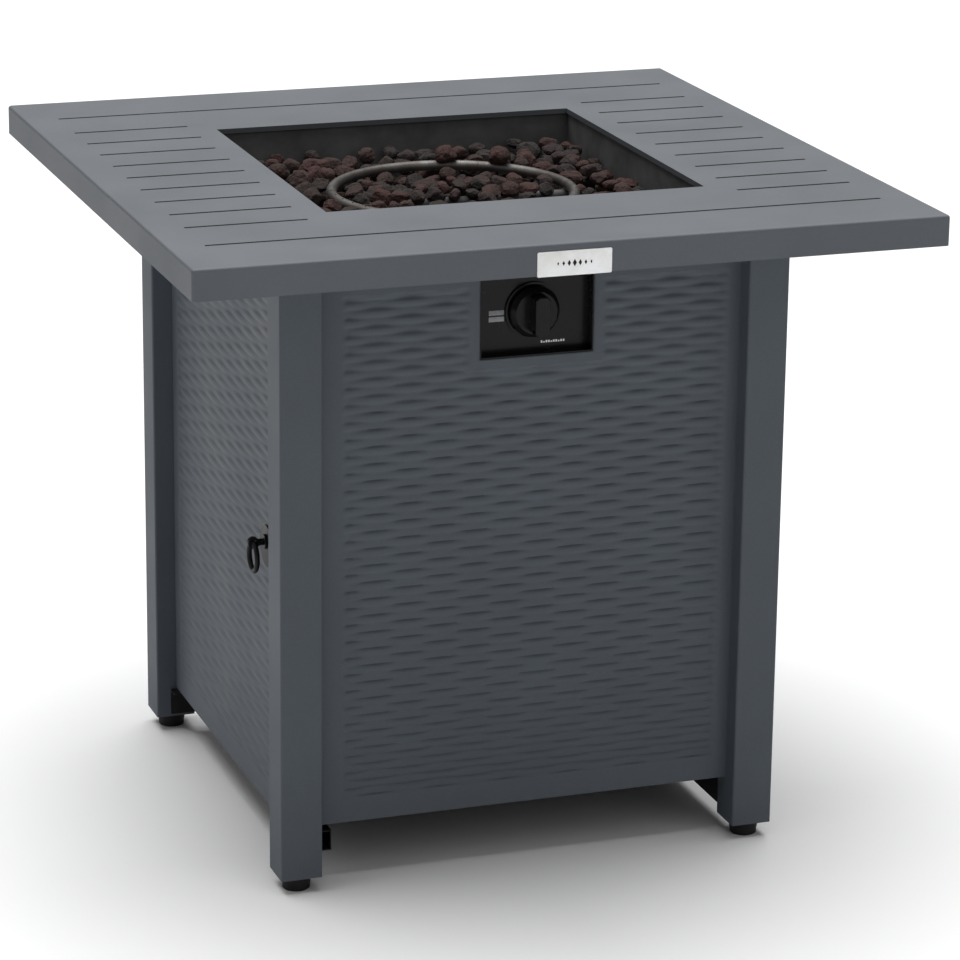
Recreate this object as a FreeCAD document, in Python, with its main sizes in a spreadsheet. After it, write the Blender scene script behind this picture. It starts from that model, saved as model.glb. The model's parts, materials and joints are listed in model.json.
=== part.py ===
import FreeCAD, Part

import math
import os
import random
import re

import Sketcher
from FreeCAD import Placement, Rotation, Vector

# Square gas fire-pit table.  The frame is +Z up, the front (control) side
# faces -Y, the access door is on the -X side, and the origin is on the floor
# under the centre of the table.  All sizes are millimetres.

doc = FreeCAD.newDocument("FirePitTable")
sheet = doc.addObject("Spreadsheet::Sheet", "Dims")

DIMENSIONS = [
    # table top: one folded sheet with a square opening and pressed grooves
    ("top_width", 711, "side of the square table top"),
    ("total_height", 635, "floor to table top"),
    ("apron_height", 28.5, "height of the folded apron"),
    ("top_sheet", 1.2, "sheet thickness of the top"),
    ("top_edge_radius", 3, "radius of the top's outer edges"),
    ("top_corner_radius", 3.5, "radius of the apron's upright corners"),
    ("opening_width", 368, "side of the square fire opening"),
    ("lip_depth", 5, "lip folded down round the opening"),
    ("groove_width", 4, "width of a pressed groove"),
    ("groove_depth", 2.5, "depth of a pressed groove"),
    ("groove_pitch", 51.5, "spacing of the short grooves"),
    ("groove_rows", 9, "number of short grooves on each side"),
    ("short_groove_start", 208, "inner end of a short groove"),
    ("long_groove_end", 322, "outer end of every groove"),
    ("long_groove_place", 275, "distance of a long groove from the centre"),
    # base frame: four square tube legs joined by square tube rails
    ("body_width", 493, "outside width over the legs"),
    ("leg_width", 40, "side of a leg tube"),
    ("leg_wall", 1.5, "wall of a leg tube"),
    ("leg_radius", 2, "corner radius of a leg tube"),
    ("leg_bottom", 15, "height of the legs' lower ends"),
    ("frame_top", 630, "height of the legs' and upper rails' tops"),
    ("rail_width", 20, "side of a rail tube"),
    ("rail_wall", 1.2, "wall of a rail tube"),
    ("lower_rail_bottom", 25, "underside of the lower rails"),
    ("plug_depth", 10, "depth of the plugs inside the legs"),
    # side panels: shallow pans folded from sheet
    ("panel_recess", 20, "panel face behind the legs' outer faces"),
    ("panel_sheet", 1, "sheet thickness of a panel"),
    ("panel_fold", 15, "depth of a panel's folded edges"),
    ("panel_top", 608, "height of the fixed panels' upper edges"),
    ("fixed_panel_bottom", 59, "lower edge of the three fixed panels"),
    ("door_bottom", 47, "lower edge of the door"),
    ("door_top", 603, "upper edge of the door, clear below the apron"),
    ("door_gap", 2.5, "gap between the door and each leg"),
    ("screw_high", 540, "height of the panels' upper screws"),
    ("screw_low", 130, "height of the panels' lower screws"),
    # door hardware
    ("pivot_inset", 4.5, "pivot axis behind the door's face"),
    ("pivot_edge", 6, "pivot axis from the door's back edge"),
    ("pivot_radius", 2.5, "radius of the pivot pins"),
    ("running_clearance", 0.08, "radial clearance of turning pins"),
    ("pull_place", 138, "pull's distance in front of the centre"),
    ("pull_height", 312.5, "height of the pull's eye"),
    ("pull_reach", 14.5, "eye centre in front of the door's face"),
    ("rosette_radius", 20, "radius of the pull's round base"),
    ("rosette_drop", 4.5, "centre of the round base below the eye"),
    ("ring_radius", 13.5, "centre-line radius of the pull ring"),
    ("ring_wire", 2.5, "radius of the pull ring's wire"),
    # control panel in the front
    ("control_centre", 5, "control panel's centre, right of the middle"),
    ("control_width", 111, "width of the control cut-out"),
    ("control_bottom", 497, "lower edge of the control cut-out"),
    ("control_top", 577, "upper edge of the control cut-out"),
    ("control_depth", 13, "depth of the recessed control tray"),
    ("control_sheet", 1.2, "sheet thickness of the control tray"),
    ("control_flange", 10, "flange of the tray behind the panel"),
    ("knob_height", 537, "height of the knob's axis"),
    ("bezel_outer", 27, "outside radius of the knob's bezel"),
    ("bezel_inner", 25, "inside radius of the knob's bezel"),
    ("bezel_thickness", 2.5, "thickness of the knob's bezel"),
    ("knob_radius", 24, "radius of the knob's skirt"),
    ("knob_gap", 3.8, "gap behind the knob, for its push travel"),
    ("knob_skirt", 8, "depth of the knob's skirt"),
    ("knob_grip_depth", 17, "how far the grip stands out of the skirt"),
    ("knob_grip_width", 14, "width of the knob's grip"),
    ("stem_radius", 4, "radius of the valve stem"),
    ("valve_width", 30, "width and height of the gas valve"),
    ("valve_length", 45, "length of the gas valve"),
    ("plug_radius", 7, "radius of the valve's turning plug"),
    ("inlet_radius", 7.94, "radius of the flare inlet's thread"),
    ("inlet_length", 12, "length of the flare inlet's thread"),
    # badge on the front apron
    ("badge_width", 70, "width of the badge"),
    ("badge_height", 22.5, "height of the badge"),
    ("badge_thickness", 0.8, "thickness of the badge"),
    ("badge_shift", 8.5, "badge's centre, left of the middle"),
    ("badge_bottom", 605.7, "lower edge of the badge"),
    # burner bowl and burner
    ("bowl_half", 187.4, "half the outside width of the bowl"),
    ("bowl_sheet", 1.2, "sheet thickness of the bowl"),
    ("bowl_flange", 15.6, "width of the bowl's hanging flange"),
    ("bowl_bottom", 560, "underside of the bowl"),
    ("burner_radius", 117, "centre-line radius of the burner ring"),
    ("burner_tube", 5, "radius of the burner's tube"),
    ("burner_wall", 1, "wall of the burner's tube"),
    ("burner_height", 601, "height of the burner ring's centre line"),
    ("port_radius", 1, "radius of a gas port"),
    ("port_count", 40, "number of gas ports"),
    ("riser_radius", 8, "radius of the burner's riser"),
    ("mixer_radius", 11, "radius of the mixer tube"),
    ("sensor_right", 44, "igniter bracket's place to the right"),
    ("sensor_front", 84, "igniter bracket's place ahead of the centre"),
    # parts round the gas tank
    ("shield_height", 505, "underside of the heat shield"),
    ("tank_radius", 105, "radius of the tank tray's hole"),
    ("tank_back", 45, "tank centre behind the table's centre"),
    ("tray_sheet", 1.2, "sheet thickness of the tank tray"),
    ("tray_front", 112, "tray's front edge, ahead of the centre"),
    ("collar_depth", 12, "depth of the collar round the tray's hole"),
    # levelling feet
    ("foot_radius", 13, "radius of a foot on the floor"),
    ("foot_neck", 14.6, "radius of a foot at its top"),
    ("foot_stud", 4, "radius of a foot's stud"),
    ("foot_gap", 0.2, "gap between a foot and its leg"),
]

for row, (alias, size, meaning) in enumerate(DIMENSIONS, start=1):
    sheet.set(f"A{row}", meaning)
    sheet.set(f"B{row}", str(size))
    sheet.setAlias(f"B{row}", alias)
doc.recompute()

# Places worked out from the driving dimensions, as expressions.
LEG_MIDDLE = "(body_width / 2 - leg_width / 2)"
LEG_INNER = "(body_width / 2 - leg_width)"
PANEL_FACE = "(body_width / 2 - panel_recess)"
RAIL_MIDDLE = "(body_width / 2 - leg_width + rail_width / 2)"
TOP_UNDERSIDE = "(total_height - top_sheet)"
TRAY_FACE = "(body_width / 2 - panel_recess - control_depth)"
KNOB_BACK = "(body_width / 2 - panel_recess - control_depth + knob_gap)"
VALVE_FRONT = "(body_width / 2 - panel_recess - control_depth - control_sheet)"
VALVE_BACK = "(body_width / 2 - panel_recess - control_depth - control_sheet - valve_length)"
RAIL_TOP = "(lower_rail_bottom + rail_width)"
BOWL_FLOOR = "(bowl_bottom + bowl_sheet)"

subparts = []


def cells(expression):
    """The expression with every dimension's name pointed at the sheet."""
    return re.sub(r"[a-z][a-z_]+", r"Dims.\g<0>", str(expression))


def number(expression):
    """The present value of an expression of dimensions."""
    return float(sheet.evalExpression(cells(expression)))


def bind(item, prop, expression):
    item.setExpression(prop, cells(expression))


def put(item, x="0", y="0", z="0", rotation=None):
    """Place a sub-part by expressions, with an optional fixed rotation."""
    if rotation is not None:
        item.Placement = Placement(Vector(0, 0, 0), rotation)
    for axis, expression in zip("xyz", (x, y, z)):
        bind(item, "Placement.Base." + axis, expression)
    return item


def turned(degrees, axis=Vector(0, 0, 1)):
    return Rotation(axis, degrees)


def subpart(item, label):
    """Give the finished item its name and keep it for writing."""
    item.Label = label
    subparts.append(item)
    return item


# ---- PartDesign helpers ----------------------------------------------------

def new_body(label):
    return subpart(doc.addObject("PartDesign::Body", label), label)


def sketch_on(body, plane, offset="0"):
    """A sketch on one of the body's own origin planes, moved along its normal.

    XZ_Plane's normal is -Y, so a positive offset moves the sketch forwards.
    """
    sketch = body.newObject("Sketcher::SketchObject", body.Name + "_outline")
    support = [item for item in body.Origin.OriginFeatures if item.Role == plane][0]
    sketch.AttachmentSupport = [(support, "")]
    sketch.MapMode = "FlatFace"
    bind(sketch, "AttachmentOffset.Base.z", offset)
    return sketch


def fix_point(sketch, geometry, point, x, y):
    """Hold a sketch point at distances from the origin that follow the sheet."""
    for kind, expression in (("DistanceX", x), ("DistanceY", y)):
        constraint = Sketcher.Constraint(kind, -1, 1, geometry, point, number(expression))
        index = sketch.addConstraint(constraint)
        bind(sketch, f"Constraints[{index}]", expression)


def polygon(sketch, corners):
    """A closed outline through corners given as pairs of expressions."""
    first = sketch.GeometryCount
    points = [Vector(number(x), number(y)) for x, y in corners]
    count = len(corners)
    for side in range(count):
        sketch.addGeometry(Part.LineSegment(points[side], points[(side + 1) % count]))
    for side in range(count):
        following = first + (side + 1) % count
        sketch.addConstraint(Sketcher.Constraint("Coincident", first + side, 2, following, 1))
    for side, (x, y) in enumerate(corners):
        fix_point(sketch, first + side, 1, x, y)


def rectangle(sketch, left, low, right, high):
    polygon(sketch, [(left, low), (right, low), (right, high), (left, high)])


def square(sketch, half):
    rectangle(sketch, f"-({half})", f"-({half})", half, half)


def circle(sketch, x, y, radius):
    middle = Vector(number(x), number(y))
    index = sketch.addGeometry(Part.Circle(middle, Vector(0, 0, 1), number(radius)))
    fix_point(sketch, index, 3, x, y)
    size = sketch.addConstraint(Sketcher.Constraint("Radius", index, number(radius)))
    bind(sketch, f"Constraints[{size}]", radius)


def pad(body, sketch, length, against=False):
    """Material along the sketch's normal, or against it."""
    feature = body.newObject("PartDesign::Pad", body.Name + "_pad")
    feature.Profile = sketch
    feature.Reversed = against
    bind(feature, "Length", length)
    body.Tip = feature
    return feature


def pocket(body, sketch, length, along=False):
    """A cut against the sketch's normal, or along it.  It must remove material."""
    doc.recompute()
    before = body.Shape.Volume
    feature = body.newObject("PartDesign::Pocket", body.Name + "_pocket")
    feature.Profile = sketch
    feature.Reversed = along
    bind(feature, "Length", length)
    body.Tip = feature
    doc.recompute()
    if body.Shape.Volume >= before:
        raise RuntimeError(f"{body.Label}: a pocket cut nothing")
    return feature


def revolve(body, sketch):
    """A turned piece about the sketch's vertical axis."""
    feature = body.newObject("PartDesign::Revolution", body.Name + "_turned")
    feature.Profile = sketch
    feature.ReferenceAxis = (sketch, ["V_Axis"])
    feature.Angle = 360
    body.Tip = feature
    return feature


def fillet(body, radius, chosen):
    """Round the edges of the body's tip for which chosen(edge) holds."""
    doc.recompute()
    base = body.Tip
    names = [f"Edge{i}" for i, edge in enumerate(base.Shape.Edges, start=1) if chosen(edge)]
    feature = body.newObject("PartDesign::Fillet", body.Name + "_rounding")
    feature.Base = (base, names)
    bind(feature, "Radius", radius)
    body.Tip = feature
    return feature


def is_upright(edge):
    """True for an edge parallel to Z."""
    box = edge.BoundBox
    return max(box.XLength, box.YLength) < 1e-6


# ---- Part helpers ----------------------------------------------------------

def box(name, length, width, height):
    item = doc.addObject("Part::Box", name)
    for prop, expression in (("Length", length), ("Width", width), ("Height", height)):
        bind(item, prop, expression)
    return item


def cylinder(name, radius, height):
    item = doc.addObject("Part::Cylinder", name)
    bind(item, "Radius", radius)
    bind(item, "Height", height)
    return item


def fuse(name, first, second):
    item = doc.addObject("Part::Fuse", name)
    item.Base = first
    item.Tool = second
    return item


def cut(name, base, tool):
    item = doc.addObject("Part::Cut", name)
    item.Base = base
    item.Tool = tool
    return item


def group(label, items):
    """Separate solids that share one name, such as a set of screws."""
    item = doc.addObject("Part::Compound", label)
    item.Links = items
    return subpart(item, label)


def screw(name, head_radius, head_height, shank_radius, shank_length):
    """A screw with its seat at z = 0, its head above and its shank below."""
    head = cylinder(name + "_head", head_radius, head_height)
    shank = cylinder(name + "_shank", shank_radius, shank_length)
    bind(shank, "Placement.Base.z", f"-({shank_length})")
    return fuse(name, head, shank)


# ---- Table top -------------------------------------------------------------

def make_table_top():
    """A folded sheet: its top face is at local z = 0 and the apron hangs down."""
    body = new_body("table_top")
    half = "(top_width / 2)"

    outline = sketch_on(body, "XY_Plane", "-apron_height")
    square(outline, half)
    pad(body, outline, "apron_height")
    fillet(body, "top_corner_radius", is_upright)
    fillet(body, "top_edge_radius", lambda edge: edge.BoundBox.ZMin > -1e-6)

    hollow = sketch_on(body, "XY_Plane", "-apron_height")
    square(hollow, f"{half} - top_sheet")
    pocket(body, hollow, "apron_height - top_sheet", along=True)

    lip = sketch_on(body, "XY_Plane", "-top_sheet")
    square(lip, "opening_width / 2 + top_sheet")
    pad(body, lip, "lip_depth - top_sheet", against=True)
    opening = sketch_on(body, "XY_Plane")
    square(opening, "opening_width / 2")
    pocket(body, opening, "lip_depth")

    # Each groove is pressed down, so it shows as a rib under the sheet.
    first_row = "-(groove_pitch * (groove_rows - 1) / 2)"
    rib = "(groove_width / 2 + top_sheet)"
    trough = "(groove_width / 2)"
    for side in (-1, 1):
        place = f"({side} * long_groove_place)"
        ridge = sketch_on(body, "XY_Plane", "-top_sheet")
        rectangle(ridge, "-long_groove_end - top_sheet", f"{place} - {rib}",
                  "long_groove_end + top_sheet", f"{place} + {rib}")
        pad(body, ridge, "groove_depth", against=True)
        channel = sketch_on(body, "XY_Plane")
        rectangle(channel, "-long_groove_end", f"{place} - {trough}",
                  "long_groove_end", f"{place} + {trough}")
        pocket(body, channel, "groove_depth")

    ridge = sketch_on(body, "XY_Plane", "-top_sheet")
    channel = sketch_on(body, "XY_Plane")
    for side in (-1, 1):
        inner = f"({side} * short_groove_start)"
        outer = f"({side} * long_groove_end)"
        rectangle(ridge, f"{inner} - ({side}) * top_sheet", f"{first_row} - {rib}",
                  f"{outer} + ({side}) * top_sheet", f"{first_row} + {rib}")
        rectangle(channel, inner, f"{first_row} - {trough}", outer, f"{first_row} + {trough}")
    ridges = pad(body, ridge, "groove_depth", against=True)
    channels = pocket(body, channel, "groove_depth")
    rows = body.newObject("PartDesign::LinearPattern", "short_grooves")
    rows.Originals = [ridges, channels]
    rows.Direction = (channel, ["V_Axis"])
    bind(rows, "Length", "groove_pitch * (groove_rows - 1)")
    bind(rows, "Occurrences", "groove_rows")
    body.Tip = rows
    put(body, z="total_height")


def make_badge():
    """A blank plate on the front apron, a little left of the middle."""
    plate = box("badge_blank", "badge_width", "badge_thickness", "badge_height")
    doc.recompute()
    rounded = doc.addObject("Part::Fillet", "badge_plate")
    rounded.Base = plate
    corner_radius = 1.5
    rounded.Edges = [(i, corner_radius, corner_radius)
                     for i, edge in enumerate(plate.Shape.Edges, start=1)
                     if edge.BoundBox.YLength > 0.5 and edge.BoundBox.XLength < 1e-6]
    put(subpart(rounded, "badge_plate"), "-badge_shift - badge_width / 2",
        "-top_width / 2 - badge_thickness", "badge_bottom")


# ---- Base frame ------------------------------------------------------------

CORNERS = [("front_left", -1, -1), ("front_right", 1, -1),
           ("back_left", -1, 1), ("back_right", 1, 1)]


def make_leg(name, side_x, side_y):
    """A square tube with screw holes in the walls that meet a fixed panel."""
    body = new_body("leg_" + name)
    outline = sketch_on(body, "XY_Plane")
    square(outline, "leg_width / 2")
    square(outline, "leg_width / 2 - leg_wall")
    pad(body, outline, "frame_top - leg_bottom")
    longest = number("leg_width")
    fillet(body, "leg_radius", lambda edge: is_upright(edge) and
           abs(edge.BoundBox.XMin) + abs(edge.BoundBox.YMin) > longest - 1e-3)

    shift = "(leg_width / 2 - panel_recess + panel_fold / 2)"
    holes = sketch_on(body, "YZ_Plane")
    for height in ("screw_high", "screw_low"):
        circle(holes, f"{-side_y} * {shift}", f"{height} - leg_bottom", "2.6")
    pocket(body, holes, "leg_width", along=side_x < 0)
    if side_x > 0:
        holes = sketch_on(body, "XZ_Plane")
        for height in ("screw_high", "screw_low"):
            circle(holes, f"{-side_x} * {shift}", f"{height} - leg_bottom", "2.6")
        pocket(body, holes, "leg_width", along=side_y > 0)
    put(body, f"{side_x} * {LEG_MIDDLE}", f"{side_y} * {LEG_MIDDLE}", "leg_bottom")


def make_leg_plugs():
    """Plastic plugs: cushions under the table top, and nuts for the feet."""
    tops = []
    nuts = []
    inner = "(leg_width - 2 * leg_wall - 0.2)"
    for name, side_x, side_y in CORNERS:
        place = (f"{side_x} * {LEG_MIDDLE}", f"{side_y} * {LEG_MIDDLE}")
        block = put(box("top_block_" + name, inner, inner, "plug_depth"),
                    f"-{inner} / 2", f"-{inner} / 2", "-plug_depth")
        cushion = cylinder("cushion_" + name, "12", f"{TOP_UNDERSIDE} - frame_top")
        tops.append(put(fuse("top_plug_" + name, block, cushion), *place, "frame_top"))
        block = put(box("nut_block_" + name, inner, inner, "plug_depth"),
                    f"-{inner} / 2", f"-{inner} / 2")
        bore = cylinder("nut_bore_" + name, "foot_stud + running_clearance", "plug_depth")
        nuts.append(put(cut("foot_nut_" + name, block, bore), *place, "leg_bottom"))
    group("leg_top_plugs", tops)
    group("leg_foot_nuts", nuts)


def make_foot(name, side_x, side_y):
    """A moulded levelling foot on a threaded stud."""
    body = new_body("foot_" + name)
    outline = sketch_on(body, "XZ_Plane")
    stud_top = "(leg_bottom + plug_depth + 12)"
    polygon(outline, [("0", "0"), ("foot_radius - 1", "0"), ("foot_radius", "1"),
                      ("foot_radius", "4"), ("foot_neck", "leg_bottom - foot_gap"),
                      ("foot_stud", "leg_bottom - foot_gap"), ("foot_stud", f"{stud_top} - 1"),
                      ("foot_stud - 1", stud_top), ("0", stud_top)])
    revolve(body, outline)
    put(body, f"{side_x} * {LEG_MIDDLE}", f"{side_y} * {LEG_MIDDLE}")


def make_rail(label, length, x, y, z, across):
    """A square tube lying along Y, or along X when across is set."""
    body = new_body(label)
    outline = sketch_on(body, "XZ_Plane", f"({length}) / 2")
    square(outline, "rail_width / 2")
    square(outline, "rail_width / 2 - rail_wall")
    pad(body, outline, length, against=True)
    put(body, x, y, z, turned(90 if across else 0))
    return body


def make_rails():
    """Upper rails between the legs, and the two lower rails of the tank tray."""
    between = f"(2 * {LEG_INNER})"
    high = "frame_top - rail_width / 2"
    for name, side in (("front", -1), ("back", 1)):
        rail = make_rail("upper_rail_" + name, between, "0", f"{side} * {RAIL_MIDDLE}", high, True)
        holes = sketch_on(rail, "YZ_Plane")
        for place in (-1, 0, 1):
            circle(holes, f"{place} * 120", "0", "2.6")
        pocket(rail, holes, "rail_width", along=side > 0)
    for name, side in (("left", -1), ("right", 1)):
        make_rail("upper_rail_" + name, between, f"{side} * {RAIL_MIDDLE}", "0", high, False)
    low = "lower_rail_bottom + rail_width / 2"
    make_rail("lower_rail_left", f"{between} + 4", f"-{LEG_INNER} + rail_width / 2", "0", low, False)
    make_rail("lower_rail_right", between, RAIL_MIDDLE, "0", low, False)


def make_top_angles():
    """Two angle strips welded under the top and screwed to the upper rails."""
    reach = "16"
    for name, side in (("front", -1), ("back", 1)):
        body = new_body("top_angle_" + name)
        outline = sketch_on(body, "YZ_Plane", "-160")
        polygon(outline, [("0", "0"), ("0", f"-({TOP_UNDERSIDE} - frame_top) - 17"),
                          ("-2", f"-({TOP_UNDERSIDE} - frame_top) - 17"), ("-2", "-2"),
                          (f"-{reach}", "-2"), (f"-{reach}", "0")])
        pad(body, outline, "320")
        holes = sketch_on(body, "XZ_Plane", "2")
        for place in (-1, 0, 1):
            circle(holes, f"{place} * 120",
                   f"frame_top - rail_width / 2 - {TOP_UNDERSIDE}", "2.6")
        pocket(body, holes, "2")
        put(body, "0", f"{side} * {PANEL_FACE}", TOP_UNDERSIDE, turned(0 if side < 0 else 180))


def make_angle_screws():
    """Six screws through the angle strips into the upper rails."""
    items = []
    for side in (-1, 1):
        for place in (-1, 0, 1):
            item = screw(f"angle_screw_{len(items)}", "4.5", "2.8", "2.5", "8")
            turn = turned(90 if side < 0 else -90, Vector(1, 0, 0))
            items.append(put(item, f"{place} * 120", f"{side} * ({PANEL_FACE} + 2)",
                             "frame_top - rail_width / 2", turn))
    group("angle_screws", items)


# ---- Side panels -----------------------------------------------------------

def make_panel(label, half_width, bottom, top):
    """A pan: its face is at local y = 0 and its folded edges point to +Y."""
    body = new_body(label)
    height = f"({top} - {bottom})"
    outline = sketch_on(body, "XZ_Plane")
    rectangle(outline, f"-({half_width})", "0", half_width, height)
    pad(body, outline, "panel_fold", against=True)
    hollow = sketch_on(body, "XZ_Plane", "-panel_sheet")
    rectangle(hollow, f"-({half_width}) + panel_sheet", "panel_sheet",
              f"{half_width} - panel_sheet", f"{height} - panel_sheet")
    pocket(body, hollow, "panel_fold")
    return body


def make_fixed_panels():
    """Front, back and right panels, each held by two screws at each side."""
    bottom = "fixed_panel_bottom"
    places = [("front_panel", 0, "0", f"-{PANEL_FACE}"), ("back_panel", 180, "0", PANEL_FACE),
              ("right_panel", 90, PANEL_FACE, "0")]
    screws = []
    for label, turn, x, y in places:
        body = make_panel(label, LEG_INNER, bottom, "panel_top")
        holes = sketch_on(body, "YZ_Plane", f"-{LEG_INNER} - 1")
        for height in ("screw_high", "screw_low"):
            circle(holes, "panel_fold / 2", f"{height} - {bottom}", "2.6")
        pocket(body, holes, f"2 * {LEG_INNER} + 2", along=True)
        if label == "front_panel":
            window = sketch_on(body, "XZ_Plane", "1")
            rectangle(window, "control_centre - control_width / 2", f"control_bottom - {bottom}",
                      "control_centre + control_width / 2", f"control_top - {bottom}")
            pocket(body, window, "3")
        put(body, x, y, bottom, turned(turn))

        rotation = turned(turn)
        for side in (-1, 1):
            for height in ("screw_high", "screw_low"):
                item = screw(f"panel_screw_{len(screws)}", "4.5", "2.8", "2.5", "7")
                along = rotation.multVec(Vector(side, 0, 0))
                inward = rotation.multVec(Vector(0, 1, 0))
                seat = f"({LEG_INNER} - panel_sheet)"
                depth = "(panel_fold / 2)"
                put(item,
                    f"{x} + {round(along.x)} * {seat} + {round(inward.x)} * {depth}",
                    f"{y} + {round(along.y)} * {seat} + {round(inward.y)} * {depth}",
                    height, Rotation(Vector(0, 0, 1), -along))
                screws.append(item)
    group("panel_screws", screws)


# ---- Door ------------------------------------------------------------------

DOOR_TURN = turned(-90)
DOOR_HALF = f"({LEG_INNER} - door_gap)"
PIVOT_X = f"(-{PANEL_FACE} + pivot_inset)"
PIVOT_Y = f"({DOOR_HALF} - pivot_edge)"


def make_door():
    """The access door: the same pan, with pivot holes and the pull's bolt hole."""
    body = make_panel("door_panel", DOOR_HALF, "door_bottom", "door_top")
    pivots = sketch_on(body, "XY_Plane", "-1")
    circle(pivots, f"-{PIVOT_Y}", "pivot_inset", "pivot_radius + running_clearance")
    pocket(body, pivots, "door_top - door_bottom + 2", along=True)
    bolt = sketch_on(body, "XZ_Plane", "1")
    circle(bolt, "pull_place", "pull_height - door_bottom", "2.1")
    pocket(body, bolt, "3")
    put(body, f"-{PANEL_FACE}", "0", "door_bottom", DOOR_TURN)


def make_door_pivots():
    """A pin under the upper rail, and a bracket with a pin below the door."""
    drop = "(frame_top - rail_width - door_top)"
    collar = put(cylinder("pivot_collar", "5", f"{drop} - 0.4"), z="door_top + 0.4")
    pin = put(cylinder("pivot_pin_upper", "pivot_radius", f"{drop} + 7"), z="door_top - 7")
    put(subpart(fuse("hinge_pin_top", collar, pin), "hinge_pin_top"), PIVOT_X, PIVOT_Y)

    body = new_body("hinge_bracket_bottom")
    plate = sketch_on(body, "YZ_Plane", "-10")
    reach = f"({LEG_INNER} - {PIVOT_Y})"
    foot_end = "-(door_bottom - 2.4 - leg_bottom) + 3"
    polygon(plate, [(reach, foot_end), (reach, "0"), ("-7", "0"), ("-7", "-2"),
                    (f"{reach} - 2", "-2"), (f"{reach} - 2", foot_end)])
    pad(body, plate, "25")
    pin = sketch_on(body, "XY_Plane", "-1")
    circle(pin, "0", "0", "pivot_radius")
    pad(body, pin, "10")
    put(body, PIVOT_X, PIVOT_Y, "door_bottom - 2.4")

    washer = cylinder("washer_blank", "5.5", "2")
    bore = cylinder("washer_bore", "pivot_radius + running_clearance", "2")
    put(subpart(cut("hinge_washer", washer, bore), "hinge_washer"),
        PIVOT_X, PIVOT_Y, "door_bottom - 2.2")


def make_magnet_latch():
    """A magnet block behind the door's free edge, on the front left leg."""
    block = box("magnet_latch", "14", "14", "44")
    put(subpart(block, "magnet_latch"), f"-{PANEL_FACE} + panel_fold + 0.5",
        f"-{LEG_INNER}", "pull_height - 22")


def make_pull():
    """A round base with an eye, the ring that hangs in it, and its nut."""
    body = new_body("pull_rosette")
    base = sketch_on(body, "XZ_Plane")
    circle(base, "0", "-rosette_drop", "rosette_radius")
    pad(body, base, "2")
    rise = sketch_on(body, "XZ_Plane", "2")
    circle(rise, "0", "0", "7")
    pad(body, rise, "2.5")
    neck = sketch_on(body, "XZ_Plane", "-7")
    circle(neck, "0", "0", "2")
    pad(body, neck, "8")
    stem = sketch_on(body, "XZ_Plane", "1")
    circle(stem, "0", "0", "3.2")
    pad(body, stem, "pull_reach - 5")
    eye = sketch_on(body, "YZ_Plane", "-2.5")
    circle(eye, "-pull_reach", "0", "5.5")
    pad(body, eye, "5")
    hole = sketch_on(body, "YZ_Plane", "-3.5")
    circle(hole, "-pull_reach", "0", "ring_wire + 0.5")
    pocket(body, hole, "7", along=True)
    place = (f"-{PANEL_FACE}", "-pull_place", "pull_height")
    put(body, *place, DOOR_TURN)

    body = new_body("pull_ring")
    section = sketch_on(body, "XY_Plane")
    circle(section, "ring_radius", "0", "ring_wire")
    revolve(body, section)
    put(body, f"-{PANEL_FACE} - pull_reach", "-pull_place", "pull_height - ring_radius",
        turned(90))

    body = new_body("pull_nut")
    hexagon = sketch_on(body, "XZ_Plane", "-panel_sheet")
    across = 4.5
    polygon(hexagon, [(str(round(across * math.cos(math.radians(60 * k)), 4)),
                       str(round(across * math.sin(math.radians(60 * k)), 4)))
                      for k in range(6)])
    circle(hexagon, "0", "0", "2.05")
    pad(body, hexagon, "3.5", against=True)
    put(body, *place, DOOR_TURN)


# ---- Control panel, knob and valve -----------------------------------------

def make_control_tray():
    """A tray sunk into the front panel, with a flange behind the sheet."""
    body = new_body("control_tray")
    centre = "((control_bottom + control_top) / 2 - knob_height)"
    half_width = "(control_width / 2 - 0.3)"
    half_height = "((control_top - control_bottom) / 2 - 0.3)"

    def frame(sketch, grow):
        rectangle(sketch, f"-{half_width} - ({grow})", f"{centre} - {half_height} - ({grow})",
                  f"{half_width} + ({grow})", f"{centre} + {half_height} + ({grow})")

    flange = sketch_on(body, "XZ_Plane", "-panel_sheet")
    frame(flange, "control_flange")
    pad(body, flange, "control_sheet", against=True)
    tub = sketch_on(body, "XZ_Plane")
    frame(tub, "0")
    pad(body, tub, "control_depth + control_sheet", against=True)
    hollow = sketch_on(body, "XZ_Plane", "1")
    frame(hollow, "-control_sheet")
    pocket(body, hollow, "control_depth + 1")
    holes = sketch_on(body, "XZ_Plane")
    circle(holes, "0", "0", "stem_radius + 0.4")
    for side in (-1, 1):
        circle(holes, f"{side} * 12", "0", "1.6")
    pocket(body, holes, "control_depth + control_sheet + 1")
    put(body, "control_centre", f"-{PANEL_FACE}", "knob_height")


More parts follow.
